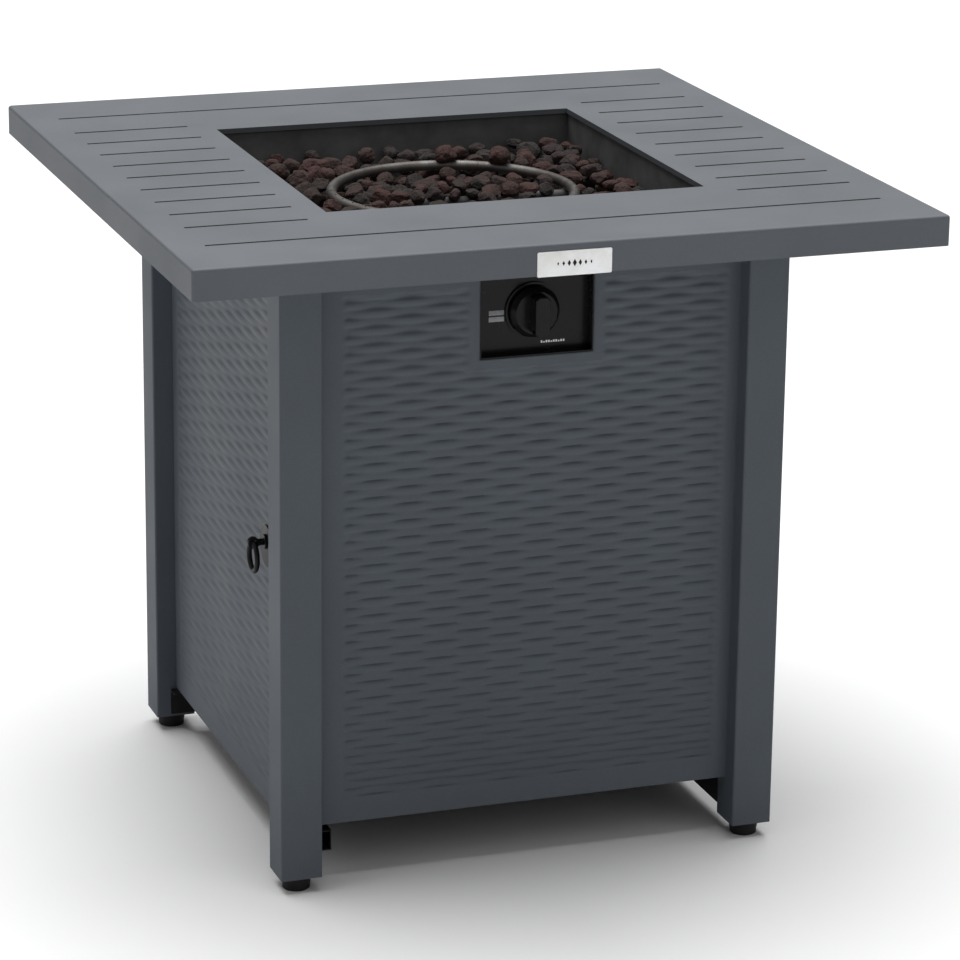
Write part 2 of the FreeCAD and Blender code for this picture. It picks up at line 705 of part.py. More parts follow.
def make_knob():
    """A hollow moulded knob with a raised grip, its bezel and the valve stem."""
    body = new_body("knob_bezel")
    ring = sketch_on(body, "XZ_Plane")
    circle(ring, "0", "0", "bezel_outer")
    circle(ring, "0", "0", "bezel_inner")
    pad(body, ring, "bezel_thickness")
    put(body, "control_centre", f"-{TRAY_FACE}", "knob_height")

    body = new_body("control_knob")
    wall = "2.5"
    bore = "(stem_radius + 0.03)"
    profile = sketch_on(body, "XY_Plane")
    polygon(profile, [("knob_radius", "0"), ("knob_radius", "-3"), ("knob_radius - 4", "-knob_skirt"),
                      ("0", "-knob_skirt"), ("0", f"-knob_skirt + {wall}"),
                      (f"knob_radius - 4 - {wall}", f"-knob_skirt + {wall}"),
                      (f"knob_radius - {wall}", "-2.5"), (f"knob_radius - {wall}", "0")])
    revolve(body, profile)
    hub = sketch_on(body, "XZ_Plane")
    circle(hub, "0", "0", "stem_radius + 3")
    pad(body, hub, "knob_skirt")
    grip = sketch_on(body, "XZ_Plane", "knob_skirt - 1")
    wide = "(knob_grip_width / 2)"
    tall = "(knob_radius - 5)"
    polygon(grip, [(wide, f"-{tall} + 3"), (wide, f"{tall} - 3"), (f"{wide} - 3", tall),
                   (f"-{wide} + 3", tall), (f"-{wide}", f"{tall} - 3"), (f"-{wide}", f"-{tall} + 3"),
                   (f"-{wide} + 3", f"-{tall}"), (f"{wide} - 3", f"-{tall}")])
    pad(body, grip, "knob_grip_depth + 1")
    front = -number("knob_skirt + knob_grip_depth")
    fillet(body, "1.5", lambda edge: edge.BoundBox.YMax < front + 1e-6)
    socket = sketch_on(body, "XZ_Plane", "-1")
    circle(socket, "0", "0", bore)
    pocket(body, socket, "knob_skirt + 10", along=True)
    put(body, "control_centre", f"-{KNOB_BACK}", "knob_height")

    body = new_body("valve_stem")
    rod = sketch_on(body, "XZ_Plane", "knob_skirt + 8")
    circle(rod, "0", "0", "stem_radius")
    pad(body, rod, "knob_skirt + 8 + knob_gap + control_sheet + 18", against=True)
    put(body, "control_centre", f"-{KNOB_BACK}", "knob_height")


def make_valve():
    """The gas valve behind the tray, its turning plug, inlet and nozzle."""
    bore = "(plug_radius + running_clearance)"
    body = new_body("gas_valve")
    block = sketch_on(body, "XZ_Plane")
    square(block, "valve_width / 2")
    pad(body, block, "valve_length", against=True)
    seat = sketch_on(body, "XZ_Plane", "1")
    circle(seat, "0", "0", bore)
    pocket(body, seat, "31")
    passage = sketch_on(body, "XZ_Plane", "1")
    circle(passage, "0", "0", "3")
    pocket(body, passage, "valve_length + 2")
    inlet = sketch_on(body, "XY_Plane", "-valve_width / 2 - 1")
    circle(inlet, "0", "valve_length / 2", "3.5")
    pocket(body, inlet, "10", along=True)
    threads = sketch_on(body, "XZ_Plane", "1")
    for side in (-1, 1):
        circle(threads, f"{side} * 12", "0", "1.5")
    pocket(body, threads, "10")
    put(body, "control_centre", f"-{VALVE_FRONT}", "knob_height")

    body = new_body("valve_plug")
    turned_plug = sketch_on(body, "XZ_Plane")
    circle(turned_plug, "0", "0", "plug_radius")
    circle(turned_plug, "0", "0", "stem_radius + running_clearance")
    pad(body, turned_plug, "27", against=True)
    put(body, "control_centre", f"-{VALVE_FRONT} + 1", "knob_height")

    body = new_body("gas_inlet")
    hexagon = sketch_on(body, "XY_Plane")
    across = 10.5
    polygon(hexagon, [(str(round(across * math.cos(math.radians(60 * k)), 4)),
                       str(round(across * math.sin(math.radians(60 * k)), 4)))
                      for k in range(6)])
    pad(body, hexagon, "7", against=True)
    thread = sketch_on(body, "XY_Plane", "-7")
    circle(thread, "0", "0", "inlet_radius")
    pad(body, thread, "inlet_length", against=True)
    gas_way = sketch_on(body, "XY_Plane", "1")
    circle(gas_way, "0", "0", "3.5")
    pocket(body, gas_way, "inlet_length + 9")
    put(body, "control_centre", f"-{VALVE_FRONT} + valve_length / 2",
        "knob_height - valve_width / 2")

    body = new_body("valve_nozzle")
    jet = sketch_on(body, "XY_Plane")
    polygon(jet, [("1", "0"), ("7", "0"), ("7", "8"), ("4", "12"), ("4", "30"), ("1", "30")])
    revolve(body, jet)
    put(body, "control_centre", f"-{VALVE_BACK}", "knob_height")

    items = []
    for side in (-1, 1):
        item = screw(f"valve_screw_{len(items)}", "2.8", "1.2", "1.45", "9")
        items.append(put(item, f"control_centre + {side} * 12", f"-{TRAY_FACE}",
                         "knob_height", turned(90, Vector(1, 0, 0))))
    group("valve_screws", items)


# ---- Burner, bowl and lava rock --------------------------------------------

def make_bowl():
    """A square pan that hangs from studs under the opening."""
    body = new_body("burner_bowl")
    depth = f"({TOP_UNDERSIDE} - bowl_bottom)"
    outline = sketch_on(body, "XY_Plane")
    square(outline, "bowl_half")
    pad(body, outline, depth)
    flange = sketch_on(body, "XY_Plane", f"{depth} - bowl_sheet")
    square(flange, "bowl_half + bowl_flange")
    pad(body, flange, "bowl_sheet")
    hollow = sketch_on(body, "XY_Plane", "bowl_sheet")
    square(hollow, "bowl_half - bowl_sheet")
    pocket(body, hollow, depth, along=True)
    holes = sketch_on(body, "XY_Plane", "-1")
    circle(holes, "0", "0", "riser_radius + 0.5")
    for side_x in (-1, 1):
        for side_y in (-1, 1):
            circle(holes, f"{side_x} * 165", f"{side_y} * 165", "4")
    pocket(body, holes, "bowl_sheet + 2", along=True)
    bolts = sketch_on(body, "XY_Plane", depth)
    for side_x in (-1, 1):
        for side_y in (-1, 1):
            circle(bolts, f"{side_x} * (bowl_half + bowl_flange / 2)",
                   f"{side_y} * (bowl_half + bowl_flange / 2)", "2.75")
    pocket(body, bolts, "bowl_sheet")
    put(body, z="bowl_bottom")

    studs = []
    nuts = []
    for name, side_x, side_y in CORNERS:
        place = (f"{side_x} * (bowl_half + bowl_flange / 2)",
                 f"{side_y} * (bowl_half + bowl_flange / 2)")
        studs.append(put(cylinder("stud_" + name, "2.5", "12"), *place, f"{TOP_UNDERSIDE} - 12"))
        nut = cylinder("nut_blank_" + name, "4.6", "4")
        bore = cylinder("nut_hole_" + name, "2.55", "4")
        nuts.append(put(cut("nut_" + name, nut, bore), *place,
                        f"{TOP_UNDERSIDE} - bowl_sheet - 4"))
    group("bowl_studs", studs)
    group("bowl_nuts", nuts)


def make_burner():
    """The ring burner on its crossbar and riser, with the mixer below."""
    body = new_body("burner_ring")
    section = sketch_on(body, "XZ_Plane")
    circle(section, "burner_radius", "0", "burner_tube")
    circle(section, "burner_radius", "0", "burner_tube - burner_wall")
    revolve(body, section)
    port = sketch_on(body, "XY_Plane", "burner_tube + 1")
    circle(port, "burner_radius + burner_tube / 4", "0", "port_radius")
    drilled = pocket(body, port, "burner_tube + 1")
    ports = body.newObject("PartDesign::PolarPattern", "gas_ports")
    ports.Originals = [drilled]
    ports.Axis = (port, ["N_Axis"])
    ports.Angle = 360
    bind(ports, "Occurrences", "port_count")
    body.Tip = ports
    put(body, z="burner_height")

    body = new_body("burner_crossbar")
    section = sketch_on(body, "YZ_Plane", "-burner_radius")
    circle(section, "0", "0", "burner_tube")
    circle(section, "0", "0", "burner_tube - burner_wall")
    pad(body, section, "2 * burner_radius")
    put(body, z="burner_height - 2 * burner_tube")

    body = new_body("burner_riser")
    section = sketch_on(body, "XY_Plane")
    circle(section, "0", "0", "riser_radius")
    circle(section, "0", "0", "riser_radius - burner_wall")
    pad(body, section, "burner_height - 3 * burner_tube - (knob_height + 17)")
    put(body, z="knob_height + 17")

    body = new_body("mixer_elbow")
    block = sketch_on(body, "XY_Plane", "-17")
    rectangle(block, "-13", "-18", "control_centre + mixer_radius + 2", "18")
    pad(body, block, "34")
    fillet(body, "4", is_upright)
    socket = sketch_on(body, "XZ_Plane", "19")
    circle(socket, "control_centre", "0", "mixer_radius + 0.05")
    pocket(body, socket, "9")
    way = sketch_on(body, "XZ_Plane", "19")
    circle(way, "control_centre", "0", "mixer_radius - 2")
    pocket(body, way, "25")
    way = sketch_on(body, "XY_Plane", "18")
    circle(way, "0", "0", "riser_radius - burner_wall")
    pocket(body, way, "18")
    put(body, z="knob_height")

    body = new_body("mixer_tube")
    far = f"({VALVE_BACK} - 26)"
    section = sketch_on(body, "XZ_Plane", far)
    circle(section, "0", "0", "mixer_radius")
    circle(section, "0", "0", "mixer_radius - 1.4")
    pad(body, section, f"{far} - 10", against=True)
    window = sketch_on(body, "XY_Plane", "mixer_radius + 1")
    rectangle(window, "-5", f"-{far} + 10", "5", f"-{far} + 24")
    pocket(body, window, "2 * mixer_radius + 2")
    put(body, "control_centre", "0", "knob_height")


def make_sensors():
    """Igniter electrode and flame sensor on a bracket inside the ring."""
    body = new_body("sensor_bracket")
    shelf = "19"
    outline = sketch_on(body, "YZ_Plane", "-23")
    polygon(outline, [("-10", "0"), ("-8.5", "0"), ("-8.5", shelf), ("10", shelf),
                      ("10", f"{shelf} + 1.5"), ("-10", f"{shelf} + 1.5")])
    pad(body, outline, "46")
    holes = sketch_on(body, "XY_Plane", f"{shelf} + 3")
    for side in (-1, 1):
        circle(holes, f"{side} * 11", "0", "3.05")
    pocket(body, holes, "4")
    put(body, "sensor_right", "-sensor_front", BOWL_FLOOR)

    insulator = cylinder("insulator", "3", "32")
    tip = put(cylinder("spark_tip", "1", "9"), z="32")
    put(subpart(fuse("igniter_electrode", insulator, tip), "igniter_electrode"),
        "sensor_right - 11", "-sensor_front", f"{BOWL_FLOOR} + 5")
    put(subpart(cylinder("flame_sensor", "3", "38"), "flame_sensor"),
        "sensor_right + 11", "-sensor_front", f"{BOWL_FLOOR} + 5")


def rock_solid(rng, centre, half_width, half_height):
    """A jagged stone: an icosahedron with every corner pulled in by chance."""
    golden = (1 + math.sqrt(5)) / 2
    corners = []
    for a in (-1, 1):
        for b in (-golden, golden):
            corners += [Vector(0, a, b), Vector(a, b, 0), Vector(b, 0, a)]
    spin = Rotation(rng.uniform(0, 360), rng.uniform(0, 360), rng.uniform(0, 360))
    edge_length = 2.0
    faces = []
    for i in range(12):
        for j in range(i + 1, 12):
            for k in range(j + 1, 12):
                trio = (corners[i], corners[j], corners[k])
                spans = [trio[n].distanceToPoint(trio[(n + 1) % 3]) for n in range(3)]
                if max(spans) < edge_length + 0.01:
                    faces.append((i, j, k))
    points = []
    for corner in corners:
        unit = spin.multVec(corner / corner.Length) * rng.uniform(0.82, 1.0)
        points.append(centre + Vector(unit.x * half_width, unit.y * half_width,
                                      unit.z * half_height))
    shell = Part.Shell([Part.Face(Part.makePolygon([points[i], points[j], points[k], points[i]]))
                        for i, j, k in faces])
    solid = Part.Solid(shell)
    if solid.Volume < 0:
        solid.reverse()
    return solid


def make_lava_rocks():
    """One bed of loose stones on the bowl's floor, inside and around the ring."""
    rng = random.Random(7)
    floor = number(BOWL_FLOOR)
    bar_low = number("burner_height - 3 * burner_tube")
    bar_high = number("burner_height - burner_tube")
    clear_of_bar = number("burner_tube") + 1
    sensors = Vector(number("sensor_right"), -number("sensor_front"), 0)
    spots = []
    for radius, count, half_width in ((42, 6, 19), (87, 12, 19.5), (152, 21, 21)):
        for step in range(count):
            angle = 2 * math.pi * (step + 0.5) / count
            spots.append((radius * math.cos(angle), radius * math.sin(angle), half_width))
    for side_x in (-1, 1):
        for side_y in (-1, 1):
            spots.append((side_x * 163, side_y * 163, 20))
            spots.append((side_x * 112, side_y * 169.5, 15))
            spots.append((side_x * 169.5, side_y * 112, 15))
    stones = []
    inside_ring = number("burner_radius - burner_tube")
    for x, y, half_width in spots:
        middle = Vector(x, y, 0)
        if middle.distanceToPoint(sensors) < half_width + 22:
            continue
        top = floor + rng.uniform(42, 47)
        if abs(y) < half_width + clear_of_bar and middle.Length < inside_ring:
            spans = [(floor + 0.3, bar_low - 0.5), (bar_high + 0.5, bar_high + 16)]
        else:
            spans = [(floor + 0.3, top)]
        for low, high in spans:
            middle.z = (low + high) / 2
            stones.append(rock_solid(rng, middle, half_width, (high - low) / 2))
    stones.append(rock_solid(rng, Vector(0, 0, bar_high + 9), 18, 8.5))
    feature = doc.addObject("Part::Feature", "lava_rocks")
    feature.Shape = Part.Compound(stones)
    subpart(feature, "lava_rocks")


# ---- Tank bay --------------------------------------------------------------

def make_heat_shield():
    """A plate between the tank and the burner, hung on four spacers."""
    plate = put(box("shield_blank", "370", "335", "1"), "-185", "-150")
    put(subpart(plate, "heat_shield"), "-185", "-150", "shield_height")
    items = []
    for side_x in (-1, 1):
        for back in (-130, 165):
            item = cylinder(f"spacer_{len(items)}", "5", "bowl_bottom - shield_height - 1")
            items.append(put(item, f"{side_x} * 150", str(back), "shield_height + 1"))
    group("shield_spacers", items)


def make_tank_tray():
    """A folded tray across the lower rails, with a collared hole for the tank."""
    body = new_body("tank_tray")
    left = f"(-{LEG_INNER} + 0.5)"
    right = f"({RAIL_MIDDLE} + 2)"
    back = f"({LEG_INNER} - 0.5)"
    plate = sketch_on(body, "XY_Plane")
    rectangle(plate, left, "-tray_front", right, back)
    pad(body, plate, "tray_sheet")
    folds = sketch_on(body, "XY_Plane")
    inner_left = f"{left} + rail_width + 1"
    inner_right = f"{LEG_INNER} - 1"
    rectangle(folds, inner_left, "-tray_front", inner_right, "-tray_front + tray_sheet")
    rectangle(folds, inner_left, f"{back} - tray_sheet", inner_right, back)
    pad(body, folds, "15", against=True)
    collar = sketch_on(body, "XY_Plane")
    circle(collar, "0", "tank_back", "tank_radius + tray_sheet")
    pad(body, collar, "collar_depth", against=True)
    hole = sketch_on(body, "XY_Plane", "tray_sheet + 1")
    circle(hole, "0", "tank_back", "tank_radius")
    pocket(body, hole, "collar_depth + tray_sheet + 2")
    bolts = sketch_on(body, "XY_Plane", "tray_sheet")
    places = [(f"-{LEG_INNER} + rail_width / 2", y) for y in ("-80", "180")]
    places += [(f"{LEG_INNER} + 5", y) for y in ("-80", "180")]
    for x, y in places:
        circle(bolts, x, y, "2.6")
    pocket(body, bolts, "tray_sheet")
    put(body, z=RAIL_TOP)

    items = []
    for x, y in places:
        item = screw(f"tray_screw_{len(items)}", "4.5", "2.5", "2.5", "tray_sheet")
        items.append(put(item, x, y, f"{RAIL_TOP} + tray_sheet"))
    group("tray_screws", items)


# ---- Build, test and write -------------------------------------------------

make_table_top()
make_badge()
for corner in CORNERS:
    make_leg(*corner)
    make_foot(*corner)
make_leg_plugs()
make_rails()
make_top_angles()
make_angle_screws()
make_fixed_panels()
make_door()
make_door_pivots()
make_magnet_latch()
make_pull()
make_control_tray()
make_knob()
make_valve()
make_bowl()
make_burner()
make_sensors()
make_lava_rocks()
make_heat_shield()
make_tank_tray()

doc.recompute()
for item in doc.Objects:
    if "Invalid" in item.State or "Error" in item.State:
        raise RuntimeError(f"{item.Label} failed: {item.State}")
for item in subparts:
    if item.Shape.isNull() or not item.Shape.isValid():
        raise RuntimeError(f"{item.Label} has no valid shape")

os.makedirs("parts", exist_ok=True)
for item in subparts:
    item.Shape.exportStep(f"parts/{item.Label}.step")
    bounds = item.Shape.BoundBox
    print(f"{item.Label:24s} solids {len(item.Shape.Solids):3d}  volume {item.Shape.Volume:12.1f}  "
          f"x {bounds.XMin:8.2f} {bounds.XMax:8.2f}  y {bounds.YMin:8.2f} {bounds.YMax:8.2f}  "
          f"z {bounds.ZMin:8.2f} {bounds.ZMax:8.2f}")
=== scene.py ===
import json
import math
import random

import bmesh
import bpy
import numpy as np
from mathutils import Matrix, Vector, noise


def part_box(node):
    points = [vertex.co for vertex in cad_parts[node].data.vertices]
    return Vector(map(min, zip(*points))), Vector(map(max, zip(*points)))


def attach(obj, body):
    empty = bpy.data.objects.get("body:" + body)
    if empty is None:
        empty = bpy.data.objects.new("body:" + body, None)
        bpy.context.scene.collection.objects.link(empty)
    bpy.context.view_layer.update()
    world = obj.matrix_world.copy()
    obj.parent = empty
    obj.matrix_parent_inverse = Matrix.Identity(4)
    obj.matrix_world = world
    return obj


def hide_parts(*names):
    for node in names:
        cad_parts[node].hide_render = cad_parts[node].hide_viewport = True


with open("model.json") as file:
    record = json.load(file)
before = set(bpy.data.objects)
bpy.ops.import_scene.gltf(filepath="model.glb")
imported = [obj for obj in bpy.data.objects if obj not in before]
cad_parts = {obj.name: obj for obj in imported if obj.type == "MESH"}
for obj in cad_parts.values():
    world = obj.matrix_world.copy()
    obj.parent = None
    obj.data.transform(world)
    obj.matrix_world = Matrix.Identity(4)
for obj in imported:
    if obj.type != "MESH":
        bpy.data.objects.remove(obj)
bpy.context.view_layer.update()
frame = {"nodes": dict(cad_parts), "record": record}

MM = 0.001
nodes = frame["nodes"]


# ---- Materials -------------------------------------------------------------

# Places of the colour sockets on a mix node.
MIX_FIRST_COLOUR = 6
MIX_SECOND_COLOUR = 7
MIX_RESULT_COLOUR = 2


class Surface:
    """A procedural material whose textures are laid out in the row frame, in metres."""

    def __init__(self, name, colour, roughness, metallic=0.0):
        self.material = bpy.data.materials.new(name)
        self.material.use_nodes = True
        self.tree = self.material.node_tree
        self.shader = self.tree.nodes["Principled BSDF"]
        self.shader.inputs["Base Color"].default_value = (*colour, 1.0)
        self.shader.inputs["Roughness"].default_value = roughness
        self.shader.inputs["Metallic"].default_value = metallic
        self.place = self.tree.nodes.new("ShaderNodeTexCoord").outputs["Object"]

    def node(self, kind, **settings):
        made = self.tree.nodes.new(kind)
        for key, value in settings.items():
            setattr(made, key, value)
        return made

    def link(self, source, target):
        self.tree.links.new(source, target)

    def stretch(self, x, y, z):
        """Texture coordinates stretched along the axes."""
        mapping = self.node("ShaderNodeMapping")
        mapping.inputs["Scale"].default_value = (x, y, z)
        self.link(self.place, mapping.inputs["Vector"])
        return mapping.outputs["Vector"]

    def noise(self, scale, detail=3.0, rough=0.55, coordinates=None):
        """Cloudy noise with scale features to the metre."""
        texture = self.node("ShaderNodeTexNoise")
        texture.inputs["Scale"].default_value = scale
        texture.inputs["Detail"].default_value = detail
        texture.inputs["Roughness"].default_value = rough
        self.link(coordinates or self.place, texture.inputs["Vector"])
        return texture.outputs["Fac"]

    def cells(self, scale):
        """Distance from the nearest point of a random scatter."""
        texture = self.node("ShaderNodeTexVoronoi", feature="F1")
        texture.inputs["Scale"].default_value = scale
        self.link(self.place, texture.inputs["Vector"])
        return texture.outputs["Distance"]

    def ramp(self, factor, low, high, start=0.3, end=0.7):
        """A colour between low and high as the factor goes from start to end."""
        ramp = self.node("ShaderNodeValToRGB")
        ramp.color_ramp.elements[0].position = start
        ramp.color_ramp.elements[1].position = end
        ramp.color_ramp.elements[0].color = (*low, 1.0)
        ramp.color_ramp.elements[1].color = (*high, 1.0)
        self.link(factor, ramp.inputs["Fac"])
        return ramp.outputs["Color"]

    def spread(self, factor, low, high, start=0.3, end=0.7):
        """A number between low and high as the factor goes from start to end."""
        change = self.node("ShaderNodeMapRange")
        change.inputs["From Min"].default_value = start
        change.inputs["From Max"].default_value = end
        change.inputs["To Min"].default_value = low
        change.inputs["To Max"].default_value = high
        self.link(factor, change.inputs["Value"])
        return change.outputs["Result"]

    def mix(self, factor, first, second):
        """The first colour where the factor is 0 and the second where it is 1."""
        mixer = self.node("ShaderNodeMix", data_type="RGBA", blend_type="MIX")
        self.link(factor, mixer.inputs["Factor"])
        return self.mixed(mixer, first, second)

    def multiply(self, first, second):
        """The two colours multiplied."""
        mixer = self.node("ShaderNodeMix", data_type="RGBA", blend_type="MULTIPLY")
        mixer.inputs["Factor"].default_value = 1.0
        return self.mixed(mixer, first, second)

    def mixed(self, mixer, first, second):
        self.link(first, mixer.inputs[MIX_FIRST_COLOUR])
        self.link(second, mixer.inputs[MIX_SECOND_COLOUR])
        return mixer.outputs[MIX_RESULT_COLOUR]

    # The mask of the painted light, partly dust, on upward faces.
    def upward_light_and_dust_mask(self):
        """1 where the surface looks upwards, 0 where it is upright or looks down."""
        parts = self.node("ShaderNodeSeparateXYZ")
        self.link(self.node("ShaderNodeNewGeometry").outputs["Normal"], parts.inputs["Vector"])
        return self.spread(parts.outputs["Z"], 0.0, 1.0, 0.5, 0.95)

    def colour(self, socket):
        self.link(socket, self.shader.inputs["Base Color"])

    def roughness(self, socket):
        self.link(socket, self.shader.inputs["Roughness"])

    def bump(self, height, depth, strength, under=None):
        """Relief of the given depth in metres, laid over the relief under it."""
        bump = self.node("ShaderNodeBump")
        bump.inputs["Strength"].default_value = strength
        bump.inputs["Distance"].default_value = depth
        self.link(height, bump.inputs["Height"])
        if under is not None:
            self.link(under, bump.inputs["Normal"])
        self.link(bump.outputs["Normal"], self.shader.inputs["Normal"])
        return bump.outputs["Normal"]


def tone(red, green, blue):
    """A linear colour from display values out of 255."""
    def linear(value):
        value /= 255
        return value / 12.92 if value <= 0.04045 else ((value + 0.055) / 1.055) ** 2.4
    return tuple(round(linear(value), 5) for value in (red, green, blue))


def shade(colour, factor):
    """The colour made darker or paler by a factor."""
    return tuple(min(1.0, value * factor) for value in colour)


def powder_coat(name, colour, painted_light_and_dust_tone=None):
    """Fine-textured powder coat with faint clouding; the optional paler tone on upward faces is
    painted light, as if lit from above, partly a film of dust.
    """
    paint = Surface(name, colour, 0.5)
    clouds = paint.noise(9.0, detail=4.0)
    specks = paint.noise(1600.0, detail=2.0)
    base = paint.ramp(clouds, shade(colour, 0.93), shade(colour, 1.07))
    grain = paint.ramp(specks, (0.86, 0.86, 0.86), (1.0, 1.0, 1.0), 0.32, 0.6)
    coat = paint.multiply(base, grain)
    # Painted light, partly dust: upward faces are painted paler, as if lit from above.
    if painted_light_and_dust_tone:
        pale = paint.ramp(clouds, shade(painted_light_and_dust_tone, 0.95), shade(painted_light_and_dust_tone, 1.06))
        coat = paint.mix(paint.upward_light_and_dust_mask(), coat, paint.multiply(pale, grain))
    paint.colour(coat)
    paint.roughness(paint.spread(clouds, 0.5, 0.62))
    paint.shader.inputs["Specular IOR Level"].default_value = 0.22
    peel = paint.bump(paint.noise(420.0, detail=2.0), depth=0.12 * MM, strength=0.5)
    paint.bump(specks, depth=0.08 * MM, strength=0.5, under=peel)
    return paint.material


def satin_black(name, colour, roughness, sheen=0.2):
    """Dark paint with wiped-looking smudges and a faint orange peel."""
    paint = Surface(name, colour, roughness)
    paint.shader.inputs["Specular IOR Level"].default_value = sheen
    smudge = paint.noise(24.0, detail=5.0, rough=0.6)
    paint.colour(paint.ramp(smudge, shade(colour, 0.75), shade(colour, 1.35)))
    paint.roughness(paint.spread(smudge, roughness - 0.08, roughness + 0.1))
    paint.bump(paint.noise(700.0, detail=2.0), depth=0.06 * MM, strength=0.5)
    return paint.material


def moulded_plastic(name, colour, roughness, sheen=0.4):
    """Moulded surface with faint smudges and a fine mould grain."""
    plastic = Surface(name, colour, roughness)
    plastic.shader.inputs["Specular IOR Level"].default_value = sheen
    smudge = plastic.noise(60.0, detail=5.0, rough=0.6)
    plastic.colour(plastic.ramp(smudge, shade(colour, 0.85), shade(colour, 1.2)))
    plastic.roughness(plastic.spread(smudge, roughness - 0.06, roughness + 0.1))
    plastic.bump(plastic.noise(900.0, detail=2.0), depth=0.03 * MM, strength=0.4)
    return plastic.material


def worked_metal(name, colour, roughness, tint, lines=(1.0, 1.0, 1.0), line_scale=900.0):
    """Bare metal with drawn or turned marks and a stain of another tint."""
    metal = Surface(name, colour, roughness, 1.0)
    stain = metal.noise(30.0, detail=5.0, rough=0.65)
    metal.colour(metal.ramp(stain, tint, colour, 0.35, 0.62))
    marks = metal.noise(line_scale, detail=2.0, rough=0.5, coordinates=metal.stretch(*lines))
    metal.roughness(metal.spread(marks, roughness - 0.07, roughness + 0.12))
    metal.bump(marks, depth=0.03 * MM, strength=0.5)
    return metal.material


def lava_stone(name):
    """Porous stone, from grey black to rust brown, one tint to each lump."""
    stone = Surface(name, tone(60, 48, 45), 0.95)
    stone.shader.inputs["Specular IOR Level"].default_value = 0.1
    tint = stone.node("ShaderNodeAttribute", attribute_name="tint").outputs["Fac"]
    lump = stone.ramp(tint, tone(60, 57, 56), tone(78, 60, 57), 0.25, 1.0)
    blotch = stone.ramp(stone.noise(70.0, detail=6.0, rough=0.7),
                        (0.75, 0.75, 0.75), (1.15, 1.12, 1.1))
    pores = stone.cells(420.0)
    # Painted shade: the pores are painted darker, as shade in the pits.
    painted_pit_shade = stone.ramp(pores, (0.6, 0.58, 0.57), (1.0, 1.0, 1.0), 0.1, 0.42)
    stone.colour(stone.multiply(stone.multiply(lump, blotch), painted_pit_shade))
    crust = stone.noise(160.0, detail=6.0, rough=0.75)
    coarse = stone.bump(crust, depth=0.9 * MM, strength=0.7)
    stone.bump(pores, depth=0.7 * MM, strength=0.8, under=coarse)
    return stone.material


SLATE = tone(90, 94, 99)
# Painted light, partly dust: the paler tone painted on the top's upward faces, as if lit from
# above.
SLATE_PAINTED_LIGHT_AND_DUST = tone(115, 118, 122)
# Painted shade: the body's coat is the top's slate paint painted darker, as its upright faces lie
# in shade.
BODY_PAINTED_SHADE = tone(80, 86, 93)

FINISHES = {
    # The top's coat carries painted light, partly dust, on its upward faces.
    "top_paint": powder_coat("slate_powder_coat_top_painted_light_and_dust", SLATE, SLATE_PAINTED_LIGHT_AND_DUST),
    # Painted shade: the body's coat is painted darker than the top's.
    "body_paint": powder_coat("slate_powder_coat_body_painted_shade", BODY_PAINTED_SHADE),
    "frame_black": satin_black("black_frame_coat", tone(24, 24, 26), 0.55),
    # Painted light: the black bowl is painted mid grey, as little light reaches inside it.
    "bowl_black": satin_black("heat_proof_black_painted_light", tone(88, 88, 88), 0.85, sheen=0.1),
    "burner_steel": worked_metal("stainless_burner", tone(122, 120, 118), 0.55,
                                 tone(94, 88, 84)),
    "badge_metal": worked_metal("badge_satin_silver", tone(236, 237, 238), 0.55,
                                tone(222, 222, 218), lines=(1.0, 30.0, 30.0), line_scale=60.0),
    "pull_metal": satin_black("black_pull_coat", tone(18, 18, 20), 0.5),
    "zinc_steel": worked_metal("zinc_plate", tone(178, 180, 182), 0.4, tone(150, 150, 140)),
    "brass": worked_metal("machined_brass", tone(186, 148, 84), 0.35, tone(140, 104, 52)),
    "valve_casting": worked_metal("cast_valve_alloy", tone(160, 162, 164), 0.6,
                                  tone(120, 122, 124)),
    "control_plastic": moulded_plastic("gloss_black_plastic", tone(20, 19, 20), 0.2, sheen=0.15),
    "black_plastic": moulded_plastic("matt_black_plastic", tone(26, 26, 28), 0.6, sheen=0.2),
    "lava_stone": lava_stone("porous_lava_stone"),
    "ceramic": moulded_plastic("white_ceramic", tone(222, 216, 204), 0.45),
}

for part in frame["record"]["subparts"]:
    mesh = nodes[part["node"]].data
    mesh.materials.clear()
    mesh.materials.append(FINISHES[part["material_slot"]])


def add_piece(name, vertices, faces, slot_name, body):
    """A new piece in the row frame, with a slot's finish, riding on a CAD body."""
    mesh = bpy.data.meshes.new(name)
    mesh.from_pydata([tuple(v) for v in vertices], [], [tuple(f) for f in faces])
    mesh.update()
    piece = bpy.data.objects.new(name, mesh)
    bpy.context.scene.collection.objects.link(piece)
    mesh.materials.append(FINISHES[slot_name])
    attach(piece, body)
    return piece


# ---- Woven side panels -----------------------------------------------------

STRAND_PITCH = 8.1 * MM
STAKE_PITCH = 32 * MM
SHEET = 0.8 * MM
PANEL_PRESSED = 2.2 * MM
DOOR_PRESSED = 1.3 * MM
# Plain borders round the weave: left, bottom, right and top.
DOOR_BORDERS = (20 * MM, 24 * MM, 20 * MM, 18 * MM)
PANEL_BORDERS = (26 * MM, 24 * MM, 13 * MM, 42 * MM)
STEPS_PER_STRAND = 6
STEPS_PER_STAKE = 10
# Flat rims round the control window and the ring pull, and the fade at the pull's rim.
WINDOW_RIM = 10 * MM
PULL_FLAT = 22 * MM
PULL_FADE = 2 * MM
FOLD_ANGLE = math.radians(50)
TINY = 1e-6


def lines_between(stops, step):
    """Evenly divided grid lines that include every stop."""
    lines = [stops[0]]
    for low, high in zip(stops, stops[1:]):
        count = max(1, round((high - low) / step))
        lines += [low + (high - low) * (i + 1) / count for i in range(count)]
    return lines


